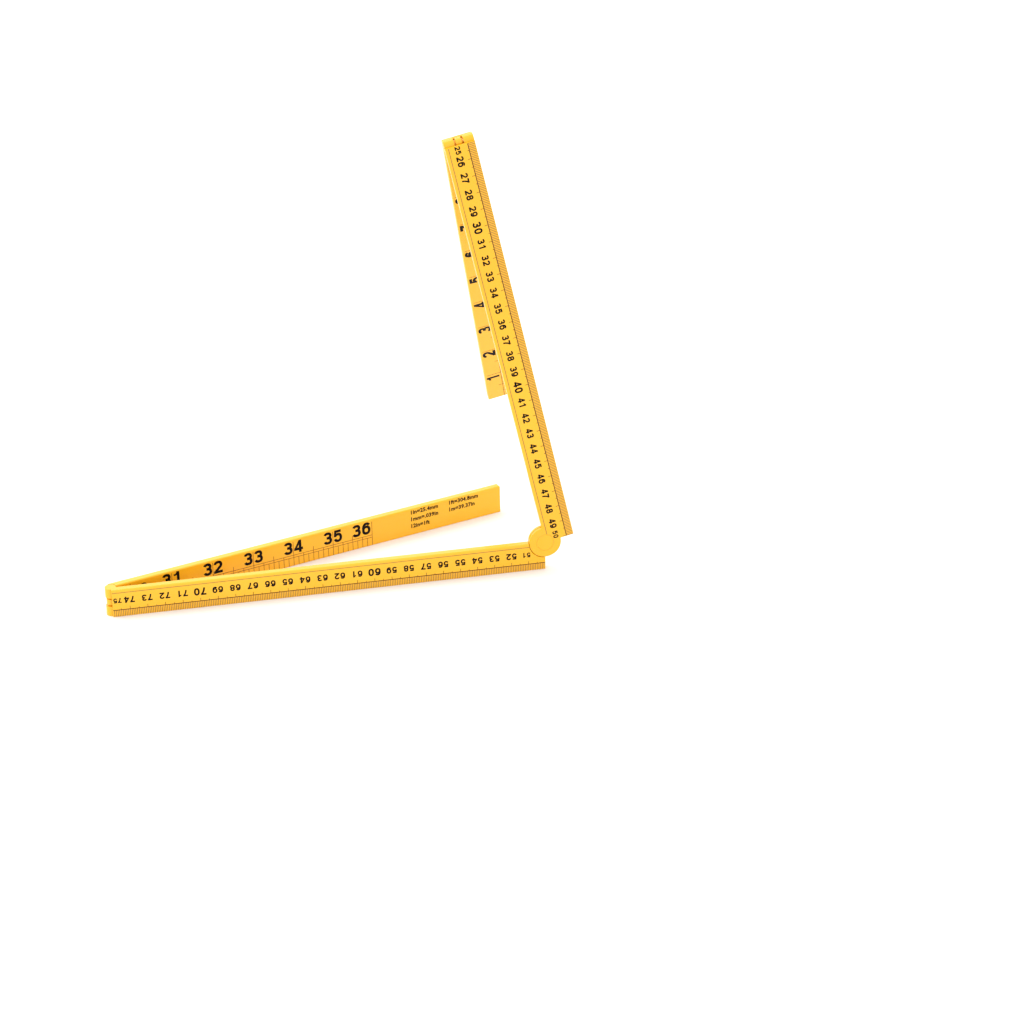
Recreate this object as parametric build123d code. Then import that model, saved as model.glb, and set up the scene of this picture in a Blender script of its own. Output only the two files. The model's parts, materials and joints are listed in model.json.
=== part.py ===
from build123d import *
import os
from math import cos, radians, sin

# A four-fold rule in moulded plastic: one metre in four legs of 25 cm. Legs 2 and 3 turn on a
# flush disc joint at the 50 cm mark. Legs 1 and 4 fold flat against their neighbours' inch faces
# on pinned side hinges at the 25 and 75 cm marks.
#
# Leg frame: X runs from the side hinge's axis to the disc joint's, or to the free end. Y runs
# from the cm face to the inch face, and Z from the ticked edge to the plain inner edge.
# Leg 3 stays in that frame. Standing on its ticked edge, it carries the rest.

# Legs
leg_length = 250.0  # hinge axis to disc axis, or to the free end
leg_width = 17.0
leg_thickness = 4.6
ticked_edge_round = 0.4
inner_edge_round = 0.8
end_round = 0.38  # on the free end's edges, kept below ticked_edge_round

# How far each joint is opened where the rule stands; 0 is folded shut and 180 is straight
disc_joint_opening = 78.0
hinge_1_2_opening = 30.0
hinge_3_4_opening = 17.0

# Gaps left between neighbouring legs
fold_gap = 0.3  # between two inch faces, folded shut
end_gap = 0.3  # between two legs' ends, opened straight
inner_edge_gap = 0.3  # between the inner edges of legs 2 and 3, folded shut

# Side hinges
barrel_radius = 3.2
middle_knuckle_width = 3.2
middle_knuckle_radius = 2.7
knuckle_gap = 1.1  # between neighbouring knuckles, along the pin
knuckle_boss_radius = 1.6  # ring round the pin that spans most of that gap
knuckle_boss_play = 0.15  # what the ring leaves of it
pocket_gap = 0.35  # between a barrel and the pocket it turns in
hinge_pin_radius = 1.0
hinge_pin_clearance = 0.05  # in the middle knuckle, which turns on the pin
hinge_pin_inset = 0.3  # pin's end below the ticked edge
hinge_pin_cover = 1.2  # plastic over the bore's blind end

# Disc joint
disc_radius = 9.3
disc_rim_round = 0.35
disc_gap = 0.3  # between a disc and the hollow it turns in
joint_plate_thickness = 0.4
joint_plate_inset = 0.4  # plate's rim inside the discs' rim
lap_gap = 0.1  # between leg 2's disc and what it slides on
rivet_head_radius = 5.0
rivet_head_thickness = 0.8
rivet_head_clearance = 0.1  # round the head and the cap
rivet_shank_radius = 2.4
rivet_shank_clearance = 0.05  # in leg 2 and in the loose washers
rivet_cap_thickness = 0.8
rivet_cap_socket = 0.4  # depth of the shank's end in the cap
spring_washer_thickness = 0.3
spring_washer_width = 1.9

# Places that follow from the sizes above
hinge_y = leg_thickness + fold_gap / 2
disc_x = leg_length
disc_z = leg_width + inner_edge_gap / 2
plate_low_y = (leg_thickness - joint_plate_thickness) / 2
plate_high_y = (leg_thickness + joint_plate_thickness) / 2
leg_2_disc_y = plate_low_y - lap_gap
cap_y = leg_thickness - rivet_cap_thickness
head_recess = rivet_head_thickness + spring_washer_thickness + lap_gap
recess_radius = rivet_head_radius + rivet_head_clearance
middle_low_z = (leg_width - middle_knuckle_width) / 2
middle_high_z = (leg_width + middle_knuckle_width) / 2
boss_length = knuckle_gap - knuckle_boss_play
cut_over = 1.0  # how far a cut runs past the face it opens
rim_reach = 0.01  # how near a disc's edge lies to the face whose rim is rounded

hinge_axis = Axis((0, hinge_y, 0), (0, 0, 1))
disc_axis = Axis((disc_x, 0, disc_z), (0, 1, 0))


def across(radius, low_z, high_z):
    """A cylinder across the leg, on the side hinge's axis."""
    flat = Cylinder(radius, high_z - low_z, align=(Align.CENTER, Align.CENTER, Align.MIN))
    return Pos(0, hinge_y, low_z) * flat


def through(radius, low_y, high_y):
    """A cylinder through the leg's thickness, on the disc joint's axis."""
    flat = Cylinder(radius, high_y - low_y, align=(Align.CENTER, Align.CENTER, Align.MIN))
    return Pos(disc_x, high_y, disc_z) * Rot(90, 0, 0) * flat


def bar(end_x):
    """A plain leg from its hinge end to end_x, with rounded long edges."""
    section = Rectangle(leg_thickness, leg_width)
    section = fillet(section.vertices().group_by(Axis.Y)[0], ticked_edge_round)
    section = fillet(section.vertices().group_by(Axis.Y)[-1], inner_edge_round)
    section = Plane.YZ * Pos(leg_thickness / 2, leg_width / 2) * section
    return Pos(end_gap / 2, 0, 0) * extrude(section, end_x - end_gap / 2)


def inner_leg(disc_span, hollow_span, rim_y):
    """A leg with two outer knuckles at one end and half of the disc joint at the other."""
    leg = bar(leg_length - end_gap / 2)
    leg -= through(disc_radius + disc_gap, *hollow_span)
    disc = through(disc_radius, *disc_span)
    circles = disc.edges().filter_by(GeomType.CIRCLE)
    rim = circles.filter_by_position(Axis.Y, rim_y - rim_reach, rim_y + rim_reach)
    leg += fillet(rim, disc_rim_round)

    low_knuckle_end = middle_low_z - knuckle_gap
    high_knuckle_end = middle_high_z + knuckle_gap
    leg -= across(barrel_radius + pocket_gap, low_knuckle_end, high_knuckle_end)
    leg += across(barrel_radius, 0, low_knuckle_end)
    leg += across(barrel_radius, high_knuckle_end, leg_width)
    leg -= across(hinge_pin_radius, -cut_over, leg_width - hinge_pin_cover)
    return leg


def end_leg():
    """A leg with the middle knuckle and a plain free end, folded shut on its neighbour."""
    leg = bar(leg_length)
    end_face = leg.faces().sort_by(Axis.X)[-1]
    leg = fillet(end_face.edges(), end_round)
    leg -= across(barrel_radius + pocket_gap, -cut_over, middle_low_z)
    leg -= across(barrel_radius + pocket_gap, middle_high_z, leg_width + cut_over)
    leg += across(middle_knuckle_radius, middle_low_z, middle_high_z)
    leg += across(knuckle_boss_radius, middle_low_z - boss_length, middle_high_z + boss_length)
    leg -= across(hinge_pin_radius + hinge_pin_clearance, 0, leg_width)
    return mirror(leg, about=Plane(origin=(0, hinge_y, 0), z_dir=(0, 1, 0)))


def hinge_pin():
    """The steel pin of a side hinge, pressed into the two outer knuckles."""
    return across(hinge_pin_radius, hinge_pin_inset, leg_width - hinge_pin_cover)


def swing_up(shape):
    """From the lower pair's place to the upper pair's: over the inner edge, then opened."""
    over = mirror(shape, about=Plane(origin=(0, 0, disc_z), z_dir=(0, 0, 1)))
    return over.rotate(disc_axis, disc_joint_opening)


def leg_3():
    leg = inner_leg((plate_high_y, leg_thickness), (-cut_over, plate_high_y), leg_thickness)
    leg -= through(recess_radius, cap_y, leg_thickness + cut_over)
    leg -= through(rivet_shank_radius, 0, leg_thickness)
    return leg


def leg_2():
    leg = inner_leg((0, leg_2_disc_y), (leg_2_disc_y, leg_thickness + cut_over), 0)
    leg -= through(recess_radius, -cut_over, head_recess)
    leg -= through(rivet_shank_radius + rivet_shank_clearance, 0, leg_thickness)
    return swing_up(leg)


def joint_rivet():
    """Head flush with the cm faces, its shank ending in the cap."""
    head = through(rivet_head_radius, 0, rivet_head_thickness)
    return head + through(rivet_shank_radius, 0, cap_y + rivet_cap_socket)


def rivet_cap():
    cap = through(rivet_head_radius, cap_y, leg_thickness)
    return cap - through(rivet_shank_radius, cap_y, cap_y + rivet_cap_socket)


def joint_plate():
    """Thin steel disc between the two half-thickness discs, held with leg 3."""
    plate = through(disc_radius - joint_plate_inset, plate_low_y, plate_high_y)
    return plate - through(rivet_shank_radius + rivet_shank_clearance, plate_low_y, plate_high_y)


def spring_washer():
    """Pressed flat under the rivet's head, it keeps the disc joint stiff."""
    bore_radius = rivet_shank_radius + rivet_shank_clearance
    low_y = rivet_head_thickness
    high_y = low_y + spring_washer_thickness
    return through(bore_radius + spring_washer_width, low_y, high_y) - through(bore_radius, low_y, high_y)


nodes = {
    "leg_3": leg_3(),
    "hinge_pin_3_4": hinge_pin(),
    "joint_rivet": joint_rivet(),
    "rivet_cap": rivet_cap(),
    "joint_plate": joint_plate(),
    "spring_washer": spring_washer(),
    "leg_4": end_leg().rotate(hinge_axis, hinge_3_4_opening),
    "leg_2": leg_2(),
    "hinge_pin_1_2": swing_up(hinge_pin()),
    "leg_1": swing_up(end_leg().rotate(hinge_axis, hinge_1_2_opening)),
}

# The origin is the middle of leg 3's standing edge
stand = Pos(-leg_length / 2, -leg_thickness / 2, 0)

os.makedirs("parts", exist_ok=True)
for name, shape in nodes.items():
    solid = stand * shape
    solid.label = name
    export_step(solid, f"parts/{name}.step")
    print(name, round(sum(piece.volume for piece in solid.solids()), 2), "mm3")

opening = radians(disc_joint_opening)
upper_hinge_x = disc_x - leg_length * cos(opening)
upper_hinge_z = disc_z + leg_length * sin(opening)
places = {
    "disc_joint": ((disc_x, 0, disc_z), (0, 1, 0)),
    "hinge_3_4": ((0, hinge_y, 0), (0, 0, 1)),
    "hinge_1_2": ((upper_hinge_x, hinge_y, upper_hinge_z), (sin(opening), 0, cos(opening))),
}
for name, (place, axis) in places.items():
    at = (place[0] - leg_length / 2, place[1] - leg_thickness / 2, place[2])
    print(name, "at", [round(v, 3) for v in at], "along", [round(v, 6) for v in axis])
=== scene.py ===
import json
import math
import bmesh
import bpy
import numpy as np
from mathutils import Matrix, Vector


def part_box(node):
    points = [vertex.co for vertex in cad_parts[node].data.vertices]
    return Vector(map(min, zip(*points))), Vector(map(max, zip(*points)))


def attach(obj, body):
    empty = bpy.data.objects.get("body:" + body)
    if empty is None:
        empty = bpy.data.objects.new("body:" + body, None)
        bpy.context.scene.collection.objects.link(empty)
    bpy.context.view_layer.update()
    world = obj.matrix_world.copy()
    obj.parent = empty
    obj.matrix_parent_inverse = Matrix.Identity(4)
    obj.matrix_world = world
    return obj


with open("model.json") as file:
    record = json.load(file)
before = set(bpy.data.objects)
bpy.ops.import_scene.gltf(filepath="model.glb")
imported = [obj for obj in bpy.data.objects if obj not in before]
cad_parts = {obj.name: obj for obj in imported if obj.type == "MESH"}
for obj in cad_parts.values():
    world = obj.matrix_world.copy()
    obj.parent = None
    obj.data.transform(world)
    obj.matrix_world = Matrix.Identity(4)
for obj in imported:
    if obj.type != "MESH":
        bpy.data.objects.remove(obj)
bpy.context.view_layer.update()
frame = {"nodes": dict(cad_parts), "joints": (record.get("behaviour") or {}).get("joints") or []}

mm = 0.001
centimetre = 0.01
inch = 25.4 * mm

# The rule's own measures, read off the frame
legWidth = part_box("leg_4")[1].z
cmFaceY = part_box("joint_rivet")[0].y  # the rivet's head is flush with the cm faces
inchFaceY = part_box("rivet_cap")[1].y  # and its cap with the inch faces
joints = {joint["name"]: joint for joint in frame["joints"]}
discJoint = Vector(joints["disc_joint"]["pos_m"])
legLength = discJoint.x - joints["hinge_3_4"]["pos_m"][0]
zeroX = discJoint.x + 2 * legLength  # where the scale's zero lies with the rule straight along leg 3
capRadius = (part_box("rivet_cap")[1].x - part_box("rivet_cap")[0].x) / 2  # the rivet's head is as wide
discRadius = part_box("leg_3")[1].z - discJoint.z
bodyOfLeg = {"leg_1": "upper_end_leg", "leg_2": "upper_leg", "leg_3": "lower_leg", "leg_4": "lower_end_leg"}
print("frame: leg", round(legLength / mm, 2), "x", round(legWidth / mm, 2), "mm")


def foldBack(jointName):
    # A turn about a joint's line, from straight (the joint's upper limit) back to how the rule stands
    joint = joints[jointName]
    place = Matrix.Translation(joint["pos_m"])
    turn = Matrix.Rotation(-math.radians(joint["range_deg"][1]), 4, Vector(joint["axis"]))
    return place @ turn @ place.inverted()


# From the straight rule, where all the scales are laid out, to each leg as it stands
standing = {
    "leg_1": foldBack("hinge_1_2") @ foldBack("disc_joint"),
    "leg_2": foldBack("disc_joint"),
    "leg_3": Matrix.Identity(4),
    "leg_4": foldBack("hinge_3_4"),
}

# Camera

view = {
    "aim": (0.1093, 0.0156, 0.0299),
    "turn": -11.02,  # degrees, from square on to leg 3
    "rise": 26.82,  # degrees above the floor
    "roll": -1.2,
    "distance": 1.812,
    "lens": 110.1,
    "sensor": 36.0,
    "clipEnd": 50.0,
}


def addCamera():
    # Stands back from the aim point along its line of sight, and is rolled about that line
    turn, rise = math.radians(view["turn"]), math.radians(view["rise"])
    forward = Vector((-math.sin(turn) * math.cos(rise), math.cos(turn) * math.cos(rise), -math.sin(rise)))
    data = bpy.data.cameras.new("camera")
    data.lens, data.sensor_width = view["lens"], view["sensor"]
    data.clip_end = view["clipEnd"]
    camera = bpy.data.objects.new("camera", data)
    bpy.context.scene.collection.objects.link(camera)
    aimed = forward.to_track_quat("-Z", "Y").to_matrix().to_4x4()
    roll = Matrix.Rotation(math.radians(view["roll"]), 4, "Z")
    place = Matrix.Translation(Vector(view["aim"]) - forward * view["distance"])
    camera.matrix_world = place @ aimed @ roll
    bpy.context.scene.camera = camera


addCamera()
print("camera placed")

# Shader groups


def newGroup(name, inputs, outputs):
    # A node group with its sockets; inputs are (name, kind, default), outputs (name, kind)
    group = bpy.data.node_groups.new(name, "ShaderNodeTree")
    for label, kind, value in inputs:
        socket = group.interface.new_socket(label, in_out="INPUT", socket_type=kind)
        if value is not None:
            socket.default_value = value
    for label, kind in outputs:
        group.interface.new_socket(label, in_out="OUTPUT", socket_type=kind)
    nodes = group.nodes
    return group, nodes.new("NodeGroupInput"), nodes.new("NodeGroupOutput")


def node(tree, kind, links=(), **values):
    # A node with its settings; links are (socket name, source socket)
    made = tree.nodes.new(kind)
    for key, value in values.items():
        if hasattr(made, key):
            setattr(made, key, value)
        else:
            made.inputs[key.replace("_", " ")].default_value = value
    for socket, source in links:
        tree.links.new(source, made.inputs[socket])
    return made


def spread(tree, source, fromRange, toRange=(0.0, 1.0)):
    # One range of values laid straight onto another, and held at its ends
    made = node(tree, "ShaderNodeMapRange", [("Value", source)])
    made.inputs["From Min"].default_value, made.inputs["From Max"].default_value = fromRange
    made.inputs["To Min"].default_value, made.inputs["To Max"].default_value = toRange
    return made.outputs[0]


def addScaled(tree, value, factor, base):
    # The value times a factor, plus the base
    made = node(tree, "ShaderNodeMath", [(0, value), (2, base)], operation="MULTIPLY_ADD")
    made.inputs[1].default_value = factor
    return made.outputs[0]


skinPattern = {
    "flowScale": 14.0,  # scales are in features a metre
    "flowRange": (0.35, 0.7),  # where the flow marks go from the plain colour to the deep one
    "speckScale": 420.0,
    "speckRough": 0.08,
    "rubScale": 95.0,
    "rubTurn": (0.3, 0.5, 0.2),  # keeps the rubs off the axes
    "rubWidth": 0.012,
    "rubPatchScale": 38.0,
    "rubPatchRange": (0.56, 0.68),  # the few patches that have rubs
    "rubRough": 0.12,
    "rubHeight": -0.35,  # against the grain's own height
}


def mouldedGroup():
    # Moulded plastic: a fine spark-eroded grain, slow cloudy flow marks and a few faint rubs
    floatKind, colourKind, vectorKind = "NodeSocketFloat", "NodeSocketColor", "NodeSocketVector"
    group, entry, out = newGroup(
        "mouldedSkin",
        [("Vector", vectorKind, None), ("Colour", colourKind, (0.9, 0.55, 0.03, 1)),
         ("Deep", colourKind, (0.85, 0.48, 0.02, 1)), ("Grain Scale", floatKind, 2600.0),
         ("Roughness", floatKind, 0.3)],
        [("Colour", colourKind), ("Roughness", floatKind), ("Height", floatKind)],
    )
    look = skinPattern
    vector = entry.outputs["Vector"]
    flow = node(group, "ShaderNodeTexNoise", [("Vector", vector)], Scale=look["flowScale"], Detail=3.0,
                Roughness=0.55)
    speck = node(group, "ShaderNodeTexNoise", [("Vector", vector)], Scale=look["speckScale"], Detail=2.0,
                 Roughness=0.6)
    grain = node(group, "ShaderNodeTexNoise",
                 [("Vector", vector), ("Scale", entry.outputs["Grain Scale"])], Detail=2.0, Roughness=0.5)
    turned = node(group, "ShaderNodeMapping", [("Vector", vector)], Rotation=look["rubTurn"])
    rub = node(group, "ShaderNodeTexVoronoi", [("Vector", turned.outputs[0])], Scale=look["rubScale"],
               feature="DISTANCE_TO_EDGE")
    rubLine = spread(group, rub.outputs["Distance"], (0.0, look["rubWidth"]), (1.0, 0.0))
    rubPatch = node(group, "ShaderNodeTexNoise", [("Vector", vector)], Scale=look["rubPatchScale"],
                    Detail=1.0)
    rubWhere = spread(group, rubPatch.outputs["Fac"], look["rubPatchRange"])
    rubbed = node(group, "ShaderNodeMath", [(0, rubLine), (1, rubWhere)], operation="MULTIPLY").outputs[0]
    mixed = node(group, "ShaderNodeMix", data_type="RGBA")
    factor, plain, deep, mixedColour = mixed.inputs[0], mixed.inputs[6], mixed.inputs[7], mixed.outputs[2]
    group.links.new(spread(group, flow.outputs["Fac"], look["flowRange"]), factor)
    group.links.new(entry.outputs["Colour"], plain)
    group.links.new(entry.outputs["Deep"], deep)
    group.links.new(mixedColour, out.inputs["Colour"])
    speckled = addScaled(group, speck.outputs["Fac"], look["speckRough"], entry.outputs["Roughness"])
    group.links.new(addScaled(group, rubbed, look["rubRough"], speckled), out.inputs["Roughness"])
    height = addScaled(group, rubbed, look["rubHeight"], grain.outputs["Fac"])
    group.links.new(height, out.inputs["Height"])
    return group


moulded = mouldedGroup()
print("shader groups made")

# Materials


def newMaterial(name):
    # A material with its node tree and its Principled shader
    material = bpy.data.materials.new(name)
    material.use_nodes = True
    tree = material.node_tree
    return material, tree, tree.nodes["Principled BSDF"]


plasticLook = {
    "colour": (0.90, 0.470, 0.012, 1),
    "deep": (0.885, 0.445, 0.009, 1),
    "roughness": 0.27,
    "grainScale": 2600.0,
    "grainDepth": 0.006 * mm,
    "grainStrength": 0.35,
    "ior": 1.5,
}


def yellowPlastic():
    # The moulded skin on a plain glossy plastic
    material, tree, shader = newMaterial("yellowPlastic")
    place = node(tree, "ShaderNodeTexCoord")
    skin = node(tree, "ShaderNodeGroup")
    skin.node_tree = moulded
    tree.links.new(place.outputs["Object"], skin.inputs["Vector"])
    skin.inputs["Colour"].default_value = plasticLook["colour"]
    skin.inputs["Deep"].default_value = plasticLook["deep"]
    skin.inputs["Grain Scale"].default_value = plasticLook["grainScale"]
    skin.inputs["Roughness"].default_value = plasticLook["roughness"]
    bump = node(tree, "ShaderNodeBump", [("Height", skin.outputs["Height"])],
                Strength=plasticLook["grainStrength"], Distance=plasticLook["grainDepth"])
    tree.links.new(skin.outputs["Colour"], shader.inputs["Base Color"])
    tree.links.new(skin.outputs["Roughness"], shader.inputs["Roughness"])
    tree.links.new(bump.outputs["Normal"], shader.inputs["Normal"])
    shader.inputs["IOR"].default_value = plasticLook["ior"]
    return material


inkLook = {
    "patchScale": 900.0,  # features a metre
    "denseTo": 0.42,  # the noise up to here is full ink
    "thinFrom": 0.74,  # and from here on it is thin ink
    "roughness": (0.3, 0.5),
    "specular": 0.1,
}


def printedInk(name, colour, thin):
    # Pad-printed ink, drying thinner and browner in small patches
    material, tree, shader = newMaterial(name)
    place = node(tree, "ShaderNodeTexCoord")
    patch = node(tree, "ShaderNodeTexNoise", [("Vector", place.outputs["Object"])],
                 Scale=inkLook["patchScale"], Detail=3.0)
    ramp = node(tree, "ShaderNodeValToRGB", [("Fac", patch.outputs["Fac"])])
    dense, sparse = ramp.color_ramp.elements
    dense.position, dense.color = inkLook["denseTo"], colour
    sparse.position, sparse.color = inkLook["thinFrom"], thin
    tree.links.new(ramp.outputs["Color"], shader.inputs["Base Color"])
    gloss = spread(tree, patch.outputs["Fac"], (0.0, 1.0), inkLook["roughness"])
    tree.links.new(gloss, shader.inputs["Roughness"])
    shader.inputs["Specular IOR Level"].default_value = inkLook["specular"]
    return material


steelLook = {
    "lineRange": (0.3, 0.7),
    "darker": 0.72,  # the dark lines' share of the colour
    "roughness": (0.22, 0.42),
}


def drawnSteel(name, colour, stretch):
    # Drawn or rolled steel: noise squeezed into fine lines; stretch is features a metre on each axis
    material, tree, shader = newMaterial(name)
    place = node(tree, "ShaderNodeTexCoord")
    along = node(tree, "ShaderNodeMapping", [("Vector", place.outputs["Object"])], Scale=stretch)
    lines = node(tree, "ShaderNodeTexNoise", [("Vector", along.outputs[0])], Scale=1.0, Detail=4.0)
    ramp = node(tree, "ShaderNodeValToRGB", [("Fac", lines.outputs["Fac"])])
    dark, bright = ramp.color_ramp.elements
    dark.position, bright.position = steelLook["lineRange"]
    dark.color = tuple(c * steelLook["darker"] for c in colour) + (1,)
    bright.color = colour + (1,)
    tree.links.new(ramp.outputs["Color"], shader.inputs["Base Color"])
    gloss = spread(tree, lines.outputs["Fac"], (0.0, 1.0), steelLook["roughness"])
    tree.links.new(gloss, shader.inputs["Roughness"])
    shader.inputs["Metallic"].default_value = 1.0
    return material


plastic = yellowPlastic()
numeralInk = printedInk("numeralInk", (0.002, 0.001, 0.001, 1), (0.010, 0.004, 0.004, 1))
lineInk = printedInk("lineInk", (0.055, 0.016, 0.012, 1), (0.12, 0.036, 0.020, 1))
inchInk = printedInk("inchInk", (0.22, 0.060, 0.020, 1), (0.32, 0.100, 0.030, 1))
tickInk = printedInk("tickInk", (0.34, 0.165, 0.050, 1), (0.43, 0.210, 0.062, 1))
pinSteel = drawnSteel("pinSteel", (0.62, 0.63, 0.64), (900, 900, 40))
plateSteel = drawnSteel("plateSteel", (0.58, 0.585, 0.60), (60, 900, 900))
nodeFinish = {
    "leg_1": plastic, "leg_2": plastic, "leg_3": plastic, "leg_4": plastic,
    "joint_rivet": plastic, "rivet_cap": plastic,
    "hinge_pin_1_2": pinSteel, "hinge_pin_3_4": pinSteel,
    "joint_plate": plateSteel, "spring_washer": plateSteel,
}
for name, finish in nodeFinish.items():
    mesh = frame["nodes"][name].data
    mesh.materials.clear()
    mesh.materials.append(finish)
print("materials on", len(nodeFinish), "CAD nodes")

# Print: flat shapes in (scale position, distance from the ticked edge), with a little thickness

ink = {
    "sunk": 0.02 * mm,  # below the leg's face, so the rounded edge stays covered
    "proud": 0.02 * mm,
    "layer": 0.002 * mm,  # a later stroke, or a line across marks, lies this much higher
}


def bars(posLow, posHigh, edgeLow, edgeHigh, layer=0):
    # Upright blocks: each corner is one of the block's two values along the scale, across it and in height
    top = ink["proud"] + layer * ink["layer"]
    low = np.stack(np.broadcast_arrays(posLow, edgeLow, -ink["sunk"]), -1).reshape(-1, 3).astype(float)
    high = np.stack(np.broadcast_arrays(posHigh, edgeHigh, top), -1).reshape(-1, 3).astype(float)
    pick = np.array([(i & 1, i >> 1 & 1, i >> 2) for i in range(8)])
    corners = np.where(pick[None] == 1, high[:, None], low[:, None]).reshape(-1, 3)
    sides = np.array([(0, 2, 3, 1), (4, 5, 7, 6), (0, 1, 5, 4), (2, 6, 7, 3), (0, 4, 6, 2), (1, 3, 7, 5)])
    faces = (np.arange(len(low))[:, None, None] * 8 + sides[None]).reshape(-1, 4)
    return corners, faces


def ribbon(path, width, layer=0, closed=False):
    # A flat band along a line: each point moves sideways by half the width over the cosine of half its turn
    path = np.asarray(path, float)
    ahead = np.roll(path, -1, 0) - path
    ahead /= np.linalg.norm(ahead, axis=1, keepdims=True)
    if not closed:
        ahead[-1] = ahead[-2]
    behind = np.roll(ahead, 1, 0)
    if not closed:
        behind[0] = ahead[0]
    left = np.stack([-ahead[:, 1], ahead[:, 0]], 1) + np.stack([-behind[:, 1], behind[:, 0]], 1)
    turn = np.einsum("ij,ij->i", ahead, behind)
    offset = left / (1 + turn)[:, None] * width / 2
    count = len(path)
    top = ink["proud"] + layer * ink["layer"]
    heights = np.array([top, top, -ink["sunk"], -ink["sunk"]])
    sides = np.array([1, -1, -1, 1])
    flat = path[:, None] + offset[:, None] * sides[None, :, None]
    raised = np.broadcast_to(heights[None, :, None], (count, 4, 1))
    points = np.concatenate([flat, raised], 2).reshape(-1, 3)
    start = np.arange(count if closed else count - 1)[:, None] * 4
    around = np.arange(4)[None]
    turnOn = (around + 1) % 4
    last = (start + 4) % (count * 4)
    faces = np.stack([start + around, start + turnOn, last + turnOn, last + around], -1).reshape(-1, 4)
    if not closed:
        ends = np.array([(0, 3, 2, 1), (0, 1, 2, 3)]) + np.array([[0], [4 * (count - 1)]])
        faces = np.concatenate([faces, ends])
    return points, faces


def joined(parts):
    # Shapes stacked into one, each one's faces numbered on from the points before it
    points = np.concatenate([part[0] for part in parts])
    shifts = np.cumsum([0] + [len(part[0]) for part in parts[:-1]])
    faces = np.concatenate([part[1] + shift for part, shift in zip(parts, shifts)])
    return points, faces


# Digits: strokes inside a cell that is one high

digitCell = {
    "width": 0.69,
    "middle": 0.525,  # height of the waist of 3 and 8
    "bowl": 0.645,  # top of the bowl of 5 and 6
    "steps": 17,
    "loopSteps": 1.4,  # a whole loop has this many times the steps
    "roundness": 0.86,
}


def bow(centre, radii, fromDegrees, toDegrees, share=1.0):
    # Part of a rounded loop: cosine and sine to a power under one, which squares an ellipse off a little
    count = max(4, int(round(digitCell["steps"] * share)))
    angle = np.radians(np.linspace(fromDegrees, toDegrees, count))
    c, s = np.cos(angle), np.sin(angle)
    power = digitCell["roundness"]
    return np.stack([centre[0] + radii[0] * np.sign(c) * np.abs(c) ** power,
                     centre[1] + radii[1] * np.sign(s) * np.abs(s) ** power], 1)


def loop(centre, radii):
    # A whole rounded loop, without the last point, which is the first again
    return bow(centre, radii, 0, 360, digitCell["loopSteps"])[:-1]


def digitStrokes(digit, w):
    # Each stroke is (centre line, width, closed); w is the stroke's width as a share of the height
    wide, middle, bowlTop = digitCell["width"], digitCell["middle"], digitCell["bowl"]
    left, right, low, high = w / 2, wide - w / 2, w / 2, 1 - w / 2
    across, half = wide / 2, (right - left) / 2
    upper = ((high + middle) / 2, (high - middle) / 2)  # height and radius of the upper bowl
    lower = ((low + middle) / 2, (middle - low) / 2)
    big = (low + bowlTop) / 2, (bowlTop - low) / 2  # the bowl of 5 and 6
    if digit == "0":
        return [(loop((across, 0.5), (half, 0.5 - w / 2)), w, True)]
    if digit == "1":
        stem = wide * 0.62
        flag = [(0.10, 0.735), (0.22, 0.755), (0.33, 0.825), (stem - w * 0.12, 1.0)]
        return [([(stem, 0), (stem, 1)], w, False), (flag, w * 0.72, False)]
    if digit == "2":
        arc = bow((across, upper[0] - 0.03), (half, upper[1] + 0.03), 172, -38)
        sweep = np.concatenate([arc, [(across - 0.02, 0.33), (left + 0.05, w * 0.8)]])
        return [(sweep, w, False), ([(0.01, low), (wide, low)], w, False)]
    if digit == "3":
        top = bow((across - 0.01, upper[0]), (half * 0.93, upper[1]), 165, -90)
        bottom = bow((across, lower[0]), (half, lower[1]), 90, -165)
        bridge = [(across - 0.09, middle), (across + 0.02, middle)]
        return [(top, w, False), (bottom, w, False), (bridge, w, False)]
    if digit == "4":
        stem, bar = wide * 0.70, 0.285
        return [([(stem, 0), (stem, 1)], w, False), ([(0.0, bar), (wide + 0.02, bar)], w, False),
                ([(stem - w * 0.1, 0.965), (w * 0.42, bar)], w * 0.8, False)]
    if digit == "5":
        bowl = bow((across, big[0]), (half, big[1]), 152, -165)
        return [(bowl, w, False), ([(0.60, high), (0.12, high)], w, False),
                ([(0.165, 1), (0.11, 0.45)], w * 0.9, False)]
    if digit == "6":
        spine = bow((across + 0.02, 0.5), (half + 0.02, 0.5 - w / 2), 38, 196)
        return [(loop((across, big[0]), (half, big[1])), w, True), (spine, w, False)]
    if digit == "7":
        slope = [(wide - 0.07, high), (0.44, 0.68), (0.315, 0.36), (0.25, 0)]
        return [([(0.02, high), (wide - 0.01, high)], w, False), (slope, w, False)]
    if digit == "8":
        return [(loop((across, upper[0]), (half * 0.9, upper[1])), w, True),
                (loop((across, lower[0]), (half, lower[1])), w, True)]
    turned = digitStrokes("6", w)  # a 9 is a 6 turned half round
    return [(np.array([wide, 1.0]) - np.asarray(line), width, closed) for line, width, closed in turned]


def numeral(text, height, weight, spacing):
    # The digits of a number side by side, in (right, up) from the number's lower left corner
    parts, across = [], 0.0
    for digit in text:
        for layer, (line, width, closed) in enumerate(digitStrokes(digit, weight)):
            line = (np.asarray(line, float) + np.array([across, 0])) * height
            parts.append(ribbon(line, width * height, layer, closed))
        across += digitCell["width"] + spacing
    return joined(parts), (across - spacing) * height


def placeNumeral(made, width, centre, edge, upwards):
    # centre is along the scale; edge is where the number's foot stands; upwards is +1 away from the ticks
    points, faces = made
    placed = points.copy()
    placed[:, 0] += centre - width / 2
    placed[:, 1] = edge + upwards * points[:, 1]
    return placed, faces


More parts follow.
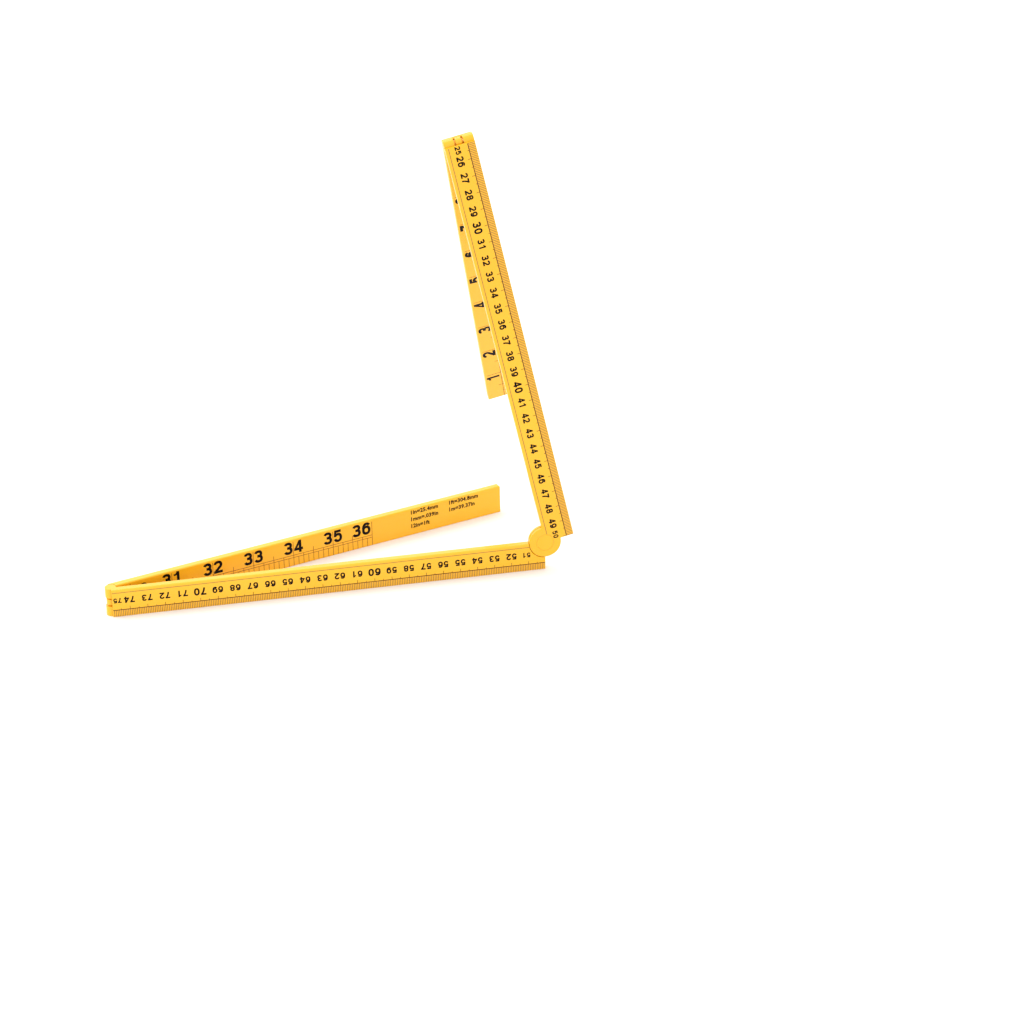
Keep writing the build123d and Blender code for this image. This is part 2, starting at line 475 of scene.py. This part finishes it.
def printOn(name, leg, face, parts, material):
    # Lays flat print on a leg's face and folds it to where the leg stands
    points, faces = joined(parts)
    onCm = face == "cm"
    straight = np.stack([zeroX - points[:, 0],
                         cmFaceY - points[:, 2] if onCm else inchFaceY + points[:, 2],
                         points[:, 1]], 1)
    turn = np.array(standing[leg])
    stood = straight @ turn[:3, :3].T + turn[:3, 3]
    mesh = bpy.data.meshes.new(name)
    mesh.from_pydata(stood, [], faces.tolist())
    mesh.update()
    shape = bmesh.new()
    shape.from_mesh(mesh)
    bmesh.ops.recalc_face_normals(shape, faces=shape.faces)
    shape.to_mesh(mesh)
    shape.free()
    mesh.materials.append(material)
    piece = bpy.data.objects.new(name, mesh)
    bpy.context.scene.collection.objects.link(piece)
    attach(piece, bodyOfLeg[leg])


legScale = 0.25  # metres of the scale on each leg
legSpan = {leg: (legScale * i, legScale * (i + 1)) for i, leg in enumerate(sorted(bodyOfLeg))}

# Centimetre scale

cmScale = {
    "baseline": 4.3 * mm,  # from the ticked edge
    "tickFoot": 0.3 * mm,
    "millimetre": 0.44 * mm,  # line widths
    "mark": 0.26 * mm,
    "baseLine": 0.44 * mm,
    "innerWidth": 0.40 * mm,
    "halfReach": 0.95 * mm,  # past the baseline
    "wholeReach": 1.9 * mm,
    "innerLine": 1.9 * mm,  # from the plain edge
    "endMargin": 0.35 * mm,
    "headGap": 0.3 * mm,  # between the inner line and the rivet's head
    "hollowGap": 0.5 * mm,  # and between it and the hollow for leg 2's disc
    "slip": {"leg_2": -0.6 * mm},  # the print lies that far off along the leg
    "digitHeight": 4.0 * mm,
    "tensHeight": 4.7 * mm,
    "weight": 0.215,
    "spacing": 0.13,
    "numeralMiddle": 10.3 * mm,  # from the ticked edge
    # Numbers at a leg's end stand clear of it, and are smaller
    "moved": {25: 2.75 * mm, 50: -3.2 * mm, 51: 1.2 * mm, 75: -3.2 * mm, 100: -3.9 * mm},
    "endHeight": 3.1 * mm,
    "owner": {25: "leg_2", 50: "leg_2", 75: "leg_3", 100: "leg_4"},  # of the numbers between two legs
}


def centimetreTicks(leg):
    # The whole millimetres along a leg, and where their marks stand
    start, end = legSpan[leg]
    which = np.arange(round(start / mm), round(end / mm) + 1)
    ticks = which * mm + cmScale["slip"].get(leg, 0)
    keep = (ticks > start + cmScale["endMargin"]) & (ticks < end - cmScale["endMargin"])
    return which[keep], ticks[keep]


def centimetreBand(leg):
    # A soft brown mark at each millimetre below the base line, and the thin line by the plain edge
    start, end = legSpan[leg]
    ticks = centimetreTicks(leg)[1]
    half = cmScale["millimetre"] / 2
    top = cmScale["baseline"] - cmScale["baseLine"] / 2
    parts = [bars(ticks - half, ticks + half, cmScale["tickFoot"], top)]
    inner, half = legWidth - cmScale["innerLine"], cmScale["innerWidth"] / 2
    low, high = start + cmScale["endMargin"], end - cmScale["endMargin"]
    drop = discJoint.z - inner
    if leg == "leg_2":  # the inner line runs over the disc up to the rivet's head
        high = end - math.sqrt((capRadius + cmScale["headGap"]) ** 2 - drop ** 2)
    if leg == "leg_3":  # and stops at the hollow for leg 2's disc
        low = start + math.sqrt((discRadius + cmScale["hollowGap"]) ** 2 - drop ** 2)
    parts.append(bars(low, high, inner - half, inner + half))
    return parts


def centimetreLines(leg):
    # The base line, with the marks at half and whole centimetres standing on it
    start, end = legSpan[leg]
    which, ticks = centimetreTicks(leg)
    marked = which % 5 == 0
    which, ticks = which[marked], ticks[marked]
    reach = np.where(which % 10 == 0, cmScale["wholeReach"], cmScale["halfReach"])
    half, base, thick = cmScale["mark"] / 2, cmScale["baseline"], cmScale["baseLine"] / 2
    margin = cmScale["endMargin"]
    return [bars(ticks - half, ticks + half, base, base + reach),
            bars(start + margin, end - margin, base - thick, base + thick, 1)]


def centimetreNumerals(leg):
    # A number at each whole centimetre, its top towards the ticks. The ones in "moved", by a leg's end,
    # are shifted and smaller
    start, end = legSpan[leg]
    parts = []
    for number in range(round(start / centimetre), round(end / centimetre) + 1):
        if number == 0 or cmScale["owner"].get(number, leg) != leg:
            continue
        height = cmScale["tensHeight"] if number % 10 == 0 else cmScale["digitHeight"]
        height = cmScale["endHeight"] if number in cmScale["moved"] else height
        made, width = numeral(str(number), height, cmScale["weight"], cmScale["spacing"])
        centre = number * centimetre + cmScale["moved"].get(number, cmScale["slip"].get(leg, 0))
        foot = cmScale["numeralMiddle"] + height / 2
        parts.append(placeNumeral(made, width, centre, foot, -1))
    return parts


# Inch scale

inchScale = {
    "lowerLine": 5.4 * mm,  # from the ticked edge
    "upperLine": 6.9 * mm,
    "halfReach": 9.4 * mm,
    "wholeReach": 15.6 * mm,
    "line": 0.3 * mm,
    "tickFoot": 0.3 * mm,
    "endMargin": 3.6 * mm,  # clear of the hinge's barrel
    "last": 36,
    "digitHeight": 7.9 * mm,
    "smallHeight": 6.3 * mm,  # for the numbers in "small", which stand near a joint
    "small": (10, 20, 29, 30),
    "beforeLine": (29, 36),  # numbers of two digits wholly on one side of their line
    "pastLine": (10, 20, 30),
    "hollowGap": 0.6 * mm,  # between a line and the hollow for leg 3's disc
    "numeralFoot": 8.0 * mm,
    "weight": 0.21,
    "spacing": 0.115,
    "lineGap": 0.135,  # between two digits with the inch line between them
    "beside": 0.95 * mm,  # from a number to the line it stands beside
}


def inchRange(leg):
    # The stretch of a leg that carries the inch scale, clear of the joints and ending at the last inch
    start, end = legSpan[leg]
    margin = inchScale["endMargin"]
    low = start + (margin if leg != "leg_1" else cmScale["endMargin"])
    high = min(end - margin, inchScale["last"] * inch)
    return low, high


def inchLines(leg):
    # A line at each eighth, taller at a quarter, a half and a whole inch, and two long lines across them
    end = legSpan[leg][1]
    low, high = inchRange(leg)
    half = inchScale["line"] / 2
    eighths = np.arange(1, inchScale["last"] * 8 + 1)
    ticks = eighths * inch / 8
    keep = (ticks > low) & (ticks < high + half)
    eighths, ticks = eighths[keep], ticks[keep]
    top = np.full(len(ticks), inchScale["lowerLine"])
    top = np.where(eighths % 2 == 0, inchScale["upperLine"], top)
    top = np.where(eighths % 4 == 0, inchScale["halfReach"], top)
    top = np.where(eighths % 8 == 0, inchScale["wholeReach"], top)
    if leg == "leg_2":  # clear of the hollow for leg 3's disc
        away = np.clip((discRadius + inchScale["hollowGap"]) ** 2 - (end - ticks) ** 2, 0, None)
        top = np.minimum(top, discJoint.z - np.sqrt(away))
    parts = [bars(ticks - half, ticks + half, inchScale["tickFoot"], top)]
    for height in (inchScale["lowerLine"], inchScale["upperLine"]):
        parts.append(bars(low, high, height - half, height + half, 1))
    return parts


def inchNumerals(leg):
    # A number beside its inch line, or with the line between its two digits
    low, high = inchRange(leg)
    parts = []
    size, foot = inchScale["digitHeight"], inchScale["numeralFoot"]
    for number in range(1, inchScale["last"] + 1):
        at = number * inch
        if not low < at < high + inchScale["line"]:
            continue
        text = str(number)
        past = number in inchScale["pastLine"]
        beside = past or len(text) == 1 or number in inchScale["beforeLine"]
        gap = inchScale["spacing"] if beside else inchScale["lineGap"]
        height = inchScale["smallHeight"] if number in inchScale["small"] else size
        made, width = numeral(text, height, inchScale["weight"], gap)
        shift = (inchScale["beside"] + width / 2) * (1 if past else -1) if beside else 0
        parts.append(placeNumeral(made, width, at + shift, foot, 1))
    return parts


notes = {
    "columns": (0.9396, 0.9650),  # where each column starts along the scale, in metres
    "feet": (13.6 * mm, 9.1 * mm, 4.6 * mm),  # from the ticked edge to each line's foot
    "text": (("1in=25.4mm", "1mm=.039in", "12in=1ft"), ("1ft=304.8mm", "1m=39.37in")),
    "size": 3.5 * mm,
    "bolder": 0.042,  # how far the outline is pushed out, as a share of the size
    "spacing": 1.06,
    "curveSteps": 2,
    "mergeReach": 1e-7,
}


def noteShape(text):
    # One line of lettering, its outline raised to the ink's thickness and cut into triangles
    curve = bpy.data.curves.new("note", "FONT")
    curve.body, curve.size, curve.resolution_u = text, notes["size"], notes["curveSteps"]
    curve.offset = notes["size"] * notes["bolder"]
    curve.space_character = notes["spacing"]
    curve.extrude = (ink["proud"] + ink["sunk"]) / 2
    holder = bpy.data.objects.new("note", curve)
    mesh = bpy.data.meshes.new_from_object(holder)
    shape = bmesh.new()
    shape.from_mesh(mesh)
    bmesh.ops.remove_doubles(shape, verts=shape.verts, dist=notes["mergeReach"])
    bmesh.ops.triangulate(shape, faces=shape.faces)
    shape.verts.index_update()
    points = np.array([v.co[:] for v in shape.verts])
    faces = np.array([[v.index for v in f.verts] for f in shape.faces])
    shape.free()
    bpy.data.objects.remove(holder)
    bpy.data.curves.remove(curve)
    bpy.data.meshes.remove(mesh)
    return points, faces


def conversions():
    # A few plain unit conversions in two columns, on the blank stretch past the last inch
    parts = []
    for start, column in zip(notes["columns"], notes["text"]):
        for foot, text in zip(notes["feet"], column):
            points, faces = noteShape(text)
            points[:, 0] += start
            points[:, 1] += foot
            points[:, 2] += (ink["proud"] - ink["sunk"]) / 2
            parts.append((points, faces))
    return parts


for leg in legSpan:
    printOn("cm_band_" + leg, leg, "cm", centimetreBand(leg), tickInk)
    printOn("cm_lines_" + leg, leg, "cm", centimetreLines(leg), lineInk)
    printOn("cm_numerals_" + leg, leg, "cm", centimetreNumerals(leg), numeralInk)
    printOn("inch_lines_" + leg, leg, "inch", inchLines(leg), inchInk)
    printOn("inch_numerals_" + leg, leg, "inch", inchNumerals(leg), numeralInk)
printOn("conversions_leg_4", "leg_4", "inch", conversions(), numeralInk)
print("scales printed on both faces of", len(legSpan), "legs")

# Floor and light

studio = {
    "floorSize": 8.0,
    "floorColour": (0.88, 0.88, 0.88, 1),
    "floorRoughness": 0.9,
    "floorSpecular": 0.1,
    "skyStrength": 1.33,
    "lightAim": (0, 0, 0.1),
    "lights": {  # place, size and power of each soft panel
        "overhead": ((-0.5, 0.9, 2.4), 1.2, 15.0),
        "left": ((-2.2, 0.6, 1.0), 1.6, 16.0),
        "behind": ((0.3, 2.6, 1.3), 2.2, 9.0),
    },
}


def addFloor():
    # One square, level with the edge that the rule stands on
    half = studio["floorSize"] / 2
    mesh = bpy.data.meshes.new("floor")
    corners = [(-half, -half, 0), (half, -half, 0), (half, half, 0), (-half, half, 0)]
    mesh.from_pydata(corners, [], [(0, 1, 2, 3)])
    floor = bpy.data.objects.new("floor", mesh)
    bpy.context.scene.collection.objects.link(floor)
    material, _, shader = newMaterial("paleFloor")
    shader.inputs["Base Color"].default_value = studio["floorColour"]
    shader.inputs["Roughness"].default_value = studio["floorRoughness"]
    shader.inputs["Specular IOR Level"].default_value = studio["floorSpecular"]
    mesh.materials.append(material)


def addLight():
    # A white sky, and soft panels that each face the aim point
    world = bpy.data.worlds.new("softSky")
    world.use_nodes = True
    backdrop = world.node_tree.nodes["Background"]
    backdrop.inputs["Color"].default_value = (1, 1, 1, 1)
    backdrop.inputs["Strength"].default_value = studio["skyStrength"]
    bpy.context.scene.world = world
    for name, (place, size, power) in studio["lights"].items():
        data = bpy.data.lights.new(name, "AREA")
        data.size, data.energy = size, power
        panel = bpy.data.objects.new(name, data)
        panel.location = place
        facing = Vector(studio["lightAim"]) - panel.location
        panel.rotation_euler = facing.to_track_quat("-Z", "Y").to_euler()
        bpy.context.scene.collection.objects.link(panel)
    bpy.context.scene.view_settings.view_transform = "Standard"


addFloor()
addLight()
print("studio lit")
